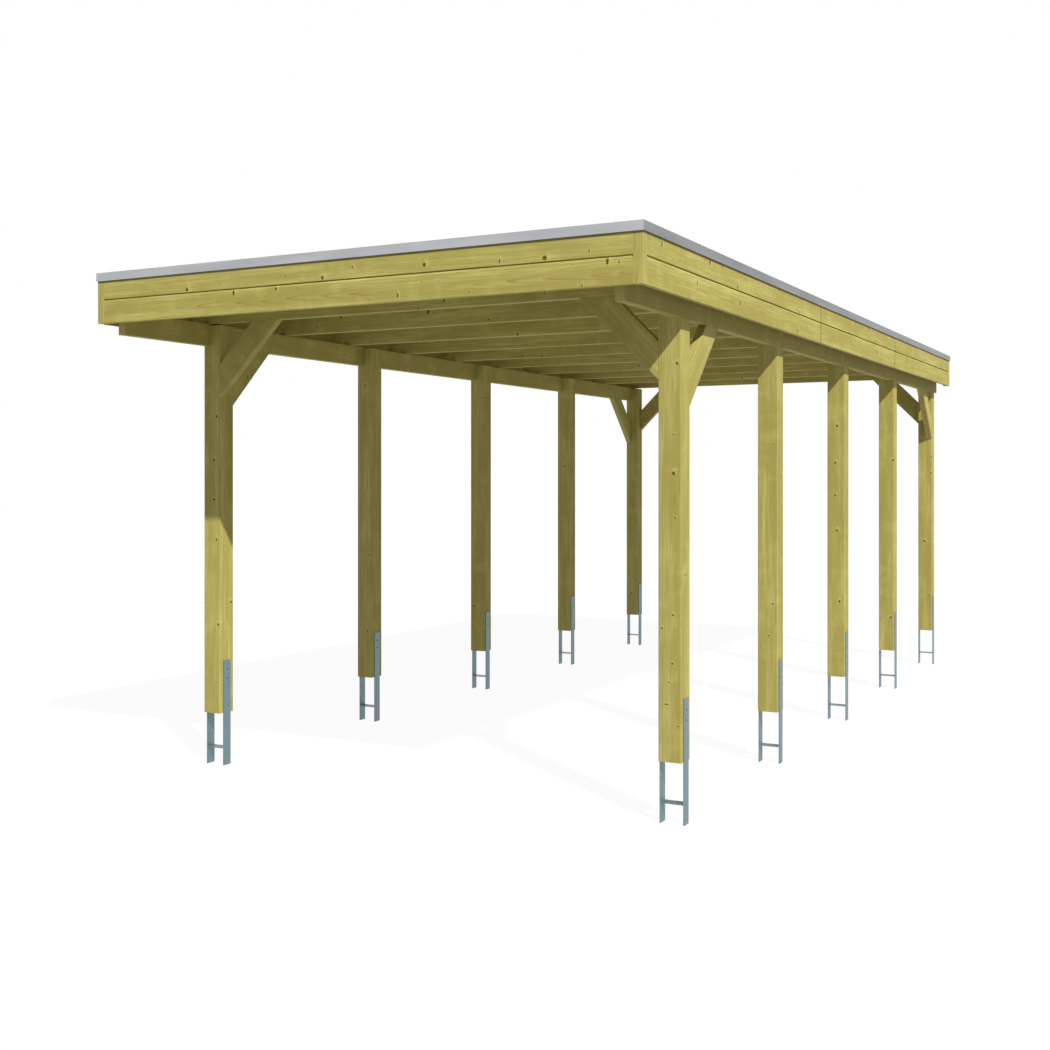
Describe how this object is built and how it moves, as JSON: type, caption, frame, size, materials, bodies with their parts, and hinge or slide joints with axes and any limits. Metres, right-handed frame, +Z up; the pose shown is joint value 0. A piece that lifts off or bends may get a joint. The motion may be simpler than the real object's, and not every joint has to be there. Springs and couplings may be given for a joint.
{
  "type": "carport",
  "caption": "Open timber carport with a flat roof: square posts on steel anchors carry beams, braces and rafters under a boarded roof with a fascia and a metal edge trim.",
  "frame": {"origin": "on the ground plane under the centre of the roof, level with the tips of the anchors", "axes": "+Z up; the front with the long overhang faces -Y; +X to the right seen from the front"},
  "size_m": [3.14, 7.08, 2.734],
  "materials": {
    "frame_timber": "planed spruce, pressure-treated, yellow-green, sparse knots",
    "fascia_boards": "planed spruce boards, pressure-treated, yellow-green, small knots",
    "roof_boards": "tongued roof boards, pressure-treated spruce",
    "roof_rubber": "smooth dark roofing sheet, matt",
    "edge_aluminium": "mill finish, satin",
    "galvanised_steel": "hot-dip galvanised, satin, cool grey"
  },
  "bodies": {
    "root": {"anchor_left_1": "galvanised_steel", "anchor_left_2": "galvanised_steel", "anchor_left_3": "galvanised_steel", "anchor_left_4": "galvanised_steel", "anchor_left_5": "galvanised_steel", "anchor_right_1": "galvanised_steel", "anchor_right_2": "galvanised_steel", "anchor_right_3": "galvanised_steel", "anchor_right_4": "galvanised_steel", "anchor_right_5": "galvanised_steel", "post_left_1": "frame_timber", "post_left_2": "frame_timber", "post_left_3": "frame_timber", "post_left_4": "frame_timber", "post_left_5": "frame_timber", "post_right_1": "frame_timber", "post_right_2": "frame_timber", "post_right_3": "frame_timber", "post_right_4": "frame_timber", "post_right_5": "frame_timber", "beam_left": "frame_timber", "beam_right": "frame_timber", "brace_across_front_left": "frame_timber", "brace_across_front_right": "frame_timber", "brace_across_back_left": "frame_timber", "brace_across_back_right": "frame_timber", "brace_along_front_left": "frame_timber", "brace_along_front_right": "frame_timber", "brace_along_back_left": "frame_timber", "brace_along_back_right": "frame_timber", "rafters": "frame_timber", "fascia_front_lower": "fascia_boards", "fascia_front_upper": "fascia_boards", "fascia_back": "fascia_boards", "fascia_left_lower": "fascia_boards", "fascia_right_lower": "fascia_boards", "fascia_left_upper": "fascia_boards", "fascia_right_upper": "fascia_boards", "corner_battens": "fascia_boards", "roof_boarding": "roof_boards", "roof_sheet": "roof_rubber", "edge_trim_front": "edge_aluminium", "edge_trim_back": "edge_aluminium", "edge_trim_left": "edge_aluminium", "edge_trim_right": "edge_aluminium"}
  },
  "joints": []
}
